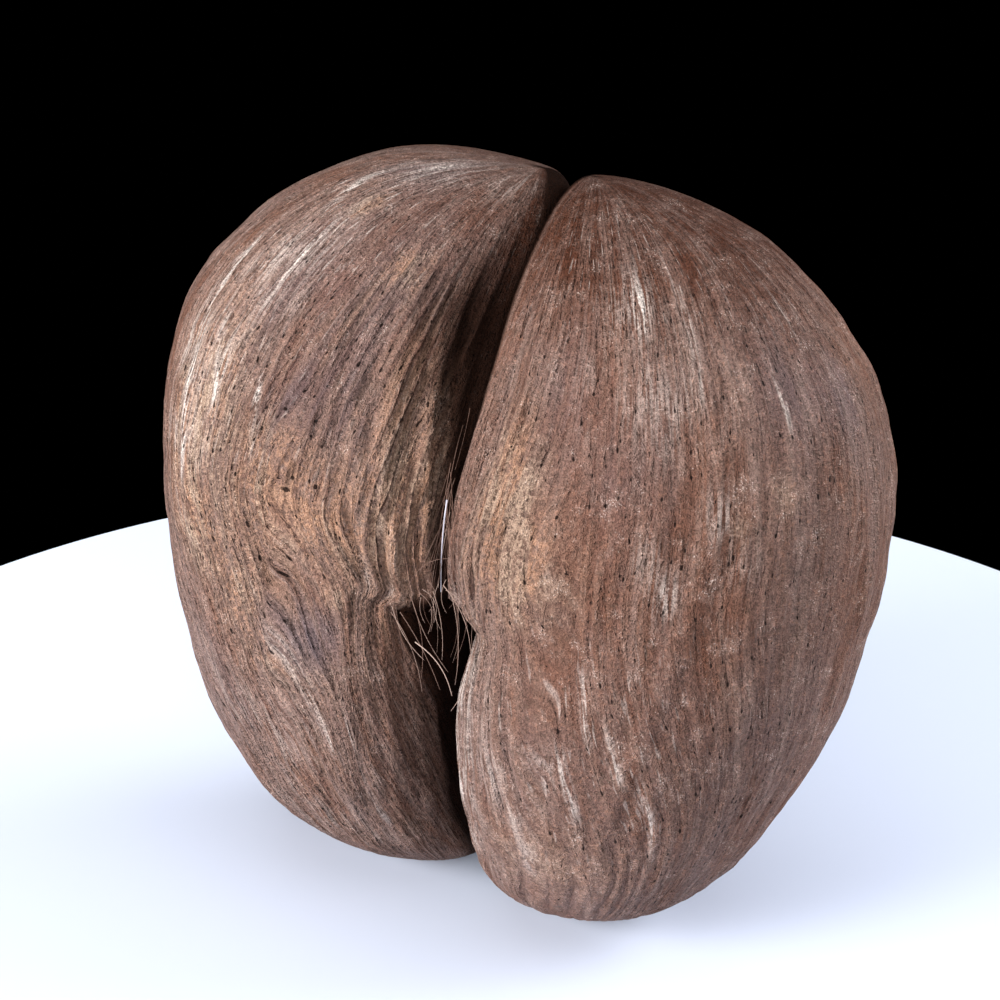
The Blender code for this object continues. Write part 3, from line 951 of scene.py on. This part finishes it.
def shell_material():
    """Dry, dull brown shell: lined along the grain, pitted, worn pale, ochre and blue-grey, with painted shade
    and highlights.
    """
    graph = Graph("nut_shell")
    blend, step, times, plus, most = graph.blend, graph.step, graph.times, graph.plus, graph.most
    place = graph.place()
    grain = graph.node("CombineXYZ", *map(graph.attribute, ("grain_x", "grain_y", "grain_z"))).outputs[0]
    ochre, blue, pale, dark, dusky_and_shade = map(graph.attribute, ("ochre", "blue", "pale", "dark", "dusky_and_shade"))
    lined, dashed, ribbed = map(graph.attribute, ("lined", "dashed", "ribbed"))
    sine, cosine = map(graph.attribute, ("rib_sine", "rib_cosine"))
    rib = graph.math("DIVIDE", graph.size(sine), graph.length(sine, cosine))

    patches = graph.noise(grain, PATCHES)
    hues = graph.noise(grain, HUES, HUES_MOVE)
    bands = graph.noise(grain, BANDS)
    lines = graph.noise(grain, LINES, LINES_MOVE)
    cracks = graph.noise(grain, CRACKS)
    strokes = graph.noise(grain, STROKES)
    mottle = graph.noise(place, MOTTLE)
    grains = graph.noise(place, GRAINS)
    dust = graph.noise(place, DUST)

    # Browns, from the broad patches down to the fine lines and the grit, and a painted highlight on the rib
    # crests
    vein = graph.size(graph.minus(bands, 0.5))
    light_line = times(step(lines, 0.52, 0.70, 0.0, 0.55), lined)
    smooth = times(step(vein, 0.06, 0.20, 0.0, 0.40), plus(lined, 0.25))
    crest_highlight = times(step(rib, 0.45, 0.95, 0.0, 0.50), ribbed, clamp=True)

    # Worn and stained places, darker places with painted shade by the cleft, and pale ones with painted
    # highlights
    coarse = plus(times(grains, 0.5), times(mottle, 0.5))
    worn = times(ochre, step(coarse, 0.42, 0.58, 0.15, 1.25), clamp=True)
    stained = times(blue, step(hues, 0.35, 0.60, 1.0, 0.45), clamp=True)
    darkened_and_shaded = times(dusky_and_shade, step(mottle, 0.35, 0.65, 1.1, 0.6))
    darkened_and_shaded = times(darkened_and_shaded, step(hues, 0.36, 0.62, 1.15, 0.70), clamp=True)
    flecks = plus(times(grains, 0.3), times(lines, 0.7))
    flaked_and_highlight = times(pale, step(flecks, 0.40, 0.58), clamp=True)
    stray = step(plus(dust, times(mottle, 0.9)), 1.17, 1.28, 0.0, 0.45)
    dashes = times(step(strokes, 0.62, 0.74), dashed)

    # Painted shade in the grooves of the grain, the fine cracks and the furrows between the ribs
    thin = graph.size(graph.minus(cracks, 0.5))
    crack = times(step(thin, 0.004, 0.020, 1.0, 0.0), step(mottle, 0.42, 0.54, 0.10, 1.0))
    crack = times(crack, plus(lined, 0.40), clamp=True)
    groove = times(step(vein, 0.004, 0.030, 1.0, 0.0), step(lines, 0.40, 0.60, 1.0, 0.2))
    groove = times(groove, step(hues, 0.40, 0.60, 0.05, 0.70))
    groove = times(groove, plus(lined, 0.20))
    furrow_shade = times(step(rib, 0.02, 0.30, 1.0, 0.0), ribbed)
    shade = most(most(groove, times(crack, 0.60)), times(furrow_shade, 0.85), clamp=True)

    large_pit, large_tail = pit_field(graph, LARGE_PITS)
    small_pit, small_tail = pit_field(graph, SMALL_PITS)
    # Painted shade in the pits and their grooves.
    hollow = most(most(large_pit, small_pit), times(most(large_tail, small_tail), 0.55))

    # Colours laid over one another, each by its share
    colour = blend(step(patches, 0.34, 0.58), RED_BROWN, MAUVE_BROWN)
    coats = (
        (step(hues, 0.50, 0.68, 0.0, 0.36), GREY_TAN),
        (step(hues, 0.30, 0.47, 0.36, 0.0), DEEP_BROWN),
        (light_line, LIGHT_BROWN),
        (smooth, GREY_TAN),
        (step(mottle, 0.50, 0.66, 0.0, 0.30), LIGHT_BROWN),
        (crest_highlight, CREST_HIGHLIGHT),
        (step(grains, 0.56, 0.70, 0.0, 0.34), RUST),
        (step(grains, 0.32, 0.44, 0.34, 0.0), OLIVE_BROWN),
        (worn, blend(step(hues, 0.42, 0.58), OCHRE, ORANGE)),
        (stained, BLUE_GREY),
        (darkened_and_shaded, DUSK_AND_SHADE),
        # Pale skin, stray specks and pale strokes, with painted highlights among the pale marks.
        (most(flaked_and_highlight, most(stray, dashes)), PALE),
        # Painted shade in the grooves, cracks and furrows.
        (shade, GROOVE_SHADE),
        (times(hollow, 0.95), PIT_SHADE),
    )
    for share, paint in coats:
        colour = blend(share, colour, paint)
    grit = times(step(dust, 0.30, 0.70, 0.74, 1.26), step(grains, 0.30, 0.70, 0.78, 1.22))
    tint = graph.vector("SCALE", colour)
    graph.put(tint.inputs["Scale"], grit)
    # Painted shade in the cleft, the pit and beside the slit, and darker round the poles.
    colour = blend(times(dark, 0.96, clamp=True), tint.outputs[0], CLEFT_SHADE)
    rough = step(plus(mottle, times(pale, -0.15)), 0.30, 0.70, 0.50, 0.74)
    rough = plus(rough, times(dark, 0.3), clamp=True)

    low = plus(hollow, times(crack, 0.45))
    ridge = graph.power(times(vein, 5.0), 0.6)
    fibrous = times(plus(ridge, times(lines, 0.7)), plus(lined, 0.12))
    normal = graph.bump(graph.minus(times(mottle, 1.1), low), MOTTLE_BUMP)
    normal = graph.bump(times(graph.power(rib, 0.7), ribbed), RIB_BUMP, normal)
    normal = graph.bump(fibrous, LINE_BUMP, normal)
    normal = graph.bump(plus(grains, times(dust, 0.5)), GRAIN_BUMP, normal)
    graph.dress(Base_Color=colour, Roughness=rough, Specular_IOR_Level=SHELL_SHINE, Normal=normal)
    return graph.material


def fibre_material():
    """Dry brown fibre, paler by its shade, and white where the shade is past full."""
    graph = Graph("husk_fibres")
    streaks = graph.noise(graph.place(), FIBRE_STREAKS)
    shade = graph.plus(graph.attribute("shade"), graph.times(graph.minus(streaks, 0.5), 0.5))
    colour = graph.blend(graph.step(shade, 0.0, 1.0), FIBRE_BROWN, FIBRE_PALE)
    colour = graph.blend(graph.step(shade, 1.2, 1.7), colour, FIBRE_WHITE)
    graph.dress(Base_Color=colour, Roughness=FIBRE_ROUGHNESS, Normal=graph.bump(streaks, FIBRE_BUMP))
    return graph.material


def aimed(thing, place, target):
    """Puts a light or camera at a place and turns it to a target."""
    thing.location = place
    thing.rotation_euler = (target - place).to_track_quat("-Z", "Y").to_euler()
    bpy.context.scene.collection.objects.link(thing)
    return thing


def add_camera():
    """The camera, at the place that the photograph was taken from."""
    data = bpy.data.cameras.new("camera")
    data.lens = LENS
    data.sensor_width = SENSOR
    data.clip_start, data.clip_end = CLIP
    place = PIVOT + DISTANCE * (math.cos(ELEVATION) * BACKWARD + math.sin(ELEVATION) * UP)
    target = PIVOT + LOOK_ASIDE * SIDEWAYS + LOOK_UP * UP
    camera = aimed(bpy.data.objects.new("camera", data), place, target)
    bpy.context.scene.camera = camera
    bpy.context.view_layer.update()
    return camera


def ray_through(camera, pixel):
    """Start and direction of the ray through a pixel of the photograph."""
    half = SENSOR / (2.0 * LENS)
    across = (pixel[0] - PICTURE / 2) / (PICTURE / 2) * half
    upward = (PICTURE / 2 - pixel[1]) / (PICTURE / 2) * half
    turn = camera.matrix_world.to_3x3()
    return camera.matrix_world.translation.copy(), (turn @ Vector((across, upward, -1.0))).normalized()


def place_at(camera, tree, pixel, over_mouth):
    """Where a fibre passes behind a pixel: on the shell, or also across the mouth of the pit."""
    start, direction = ray_through(camera, pixel)
    hit = tree.ray_cast(start, direction)
    across_mouth = (MOUTH - start.y) / direction.y
    if hit[0] is None:
        return start + direction * across_mouth
    reach = min(hit[3] - LIFT, across_mouth) if over_mouth else hit[3] - LIFT
    return start + direction * reach


def strand_path(camera, tree, strand, over_mouth):
    """Points along a bowed strand, from its start to its end."""
    start, end = Vector(strand.start), Vector(strand.end)
    aside = Vector((end.y - start.y, start.x - end.x)).normalized() * strand.bow
    path = []
    for step in range(STEPS + 1):
        share = step / STEPS
        pixel = start.lerp(end, share) + aside * (4.0 * share * (1.0 - share))
        path.append(place_at(camera, tree, pixel, over_mouth))
    for _ in range(SMOOTHINGS):
        inner = [(a + 2.0 * b + c) / 4.0 for a, b, c in zip(path, path[1:], path[2:])]
        path = [path[0]] + inner + [path[-1]]
    return path


def add_tube(mesh, path, thickness, layer, shade):
    """A thin closed tube along a path, thinner towards its end."""
    rings = []
    side = (path[1] - path[0]).orthogonal().normalized()
    for index, point in enumerate(path):
        before, after = path[max(index - 1, 0)], path[min(index + 1, len(path) - 1)]
        ahead = (after - before).normalized()
        side = (side - ahead * side.dot(ahead)).normalized()
        other = ahead.cross(side)
        width = thickness * (1.0 - TAPER * index / (len(path) - 1))
        ring = []
        for corner in range(RING):
            angle = 2.0 * math.pi * corner / RING
            vert = mesh.verts.new(point + width * (math.cos(angle) * side + math.sin(angle) * other))
            vert[layer] = shade
            ring.append(vert)
        rings.append(ring)
    for lower, upper in zip(rings, rings[1:]):
        for corner in range(RING):
            beside = (corner + 1) % RING
            mesh.faces.new((lower[corner], lower[beside], upper[beside], upper[corner]))
    mesh.faces.new(rings[0][::-1])
    mesh.faces.new(rings[-1])


def add_fibres(camera, shell):
    """Husk fibres: strands across the pit, and a thread and a bundle along the seam above it."""
    depsgraph = bpy.context.evaluated_depsgraph_get()
    tree = BVHTree.FromObject(shell, depsgraph)
    mesh = bmesh.new()
    layer = mesh.verts.layers.float.new("shade")
    luck = random.Random(HAIR_SEED)

    def drawn(limits):
        return luck.uniform(*limits)

    def add_strands(strands, over_mouth):
        for strand in strands:
            path = strand_path(camera, tree, strand, over_mouth)
            add_tube(mesh, path, strand.thickness, layer, strand.pale)

    def pit_hair(hairs):
        share = luck.random()
        across = LIP_START[0] + LIP_WIDTH * share + drawn(hairs.aside)
        down = LIP_START[1] - LIP_ARCH * math.sin(math.pi * share) + drawn(hairs.down)
        inward = drawn(HAIR_INWARD) * (1.0 - HAIR_TURN * share)
        end = (across + inward, down + drawn(HAIR_DROP))
        return Strand((across, down), end, drawn(hairs.bow), drawn(hairs.thickness), drawn(hairs.pale))

    def seam_hair(hairs):
        share = luck.random()
        start = (SEAM_START[0] - SEAM_LEAN * share + drawn(hairs.aside), SEAM_START[1] + SEAM_LENGTH * share)
        end = (SEAM_END[0] + SEAM_END_WIDTH * luck.random(), SEAM_END[1] + drawn(hairs.down))
        return Strand(start, end, drawn(hairs.bow), drawn(hairs.thickness), drawn(hairs.pale))

    add_strands(STRANDS, True)
    add_strands([pit_hair(PIT_HAIRS) for _ in range(PIT_HAIRS.count)], True)
    add_strands([seam_hair(SEAM_HAIRS) for _ in range(SEAM_HAIRS.count)], False)
    add_strands(SEAM_STRANDS, False)
    bmesh.ops.recalc_face_normals(mesh, faces=mesh.faces)
    fibres = add_object("husk_fibres", mesh)
    fibres.data.shade_smooth()
    return fibres


def add_floor():
    """A plain pale floor disc."""
    mesh = bmesh.new()
    bmesh.ops.create_circle(mesh, cap_ends=True, radius=FLOOR_RADIUS, segments=FLOOR_SIDES)
    centre = BACKWARD * FLOOR_NEARER + SIDEWAYS * FLOOR_ASIDE
    bmesh.ops.translate(mesh, verts=mesh.verts, vec=centre)
    floor = add_object("floor", mesh)
    graph = Graph("floor")
    tone = graph.noise(graph.place(), FLOOR_TONE)
    soft = graph.blend(graph.step(tone, 0.3, 0.7), FLOOR_COLOUR, FLOOR_SHADE)
    graph.dress(Base_Color=soft, Roughness=FLOOR_ROUGHNESS, Specular_IOR_Level=FLOOR_SHINE)
    floor.data.materials.append(graph.material)


def add_lights():
    """The lamps, and a black surrounding."""
    for lamp in LAMPS:
        data = bpy.data.lights.new(lamp.name, "AREA")
        data.size = lamp.size
        data.energy = lamp.power
        data.color = lamp.colour
        place = SIDEWAYS * lamp.aside + BACKWARD * lamp.back + UP * lamp.up
        aimed(bpy.data.objects.new(lamp.name, data), place, LAMP_TARGET)
    world = bpy.data.worlds.new("world")
    world.use_nodes = True
    world.node_tree.nodes["Background"].inputs["Color"].default_value = BLACK
    bpy.context.scene.world = world
    bpy.context.scene.view_settings.view_transform = "Standard"


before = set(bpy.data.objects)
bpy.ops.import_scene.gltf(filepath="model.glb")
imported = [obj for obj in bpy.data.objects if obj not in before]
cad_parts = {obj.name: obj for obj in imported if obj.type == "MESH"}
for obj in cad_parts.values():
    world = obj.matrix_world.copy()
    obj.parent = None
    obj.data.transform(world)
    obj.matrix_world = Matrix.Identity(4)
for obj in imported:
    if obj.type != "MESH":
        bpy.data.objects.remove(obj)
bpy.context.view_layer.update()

main_camera = add_camera()
nut_shell = add_shell()
nut_shell.data.materials.append(shell_material())
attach(nut_shell, "root")
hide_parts("nut")

husk_fibres = add_fibres(main_camera, nut_shell)
husk_fibres.data.materials.append(fibre_material())
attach(husk_fibres, "root")

add_floor()
add_lights()

bpy.context.view_layer.update()
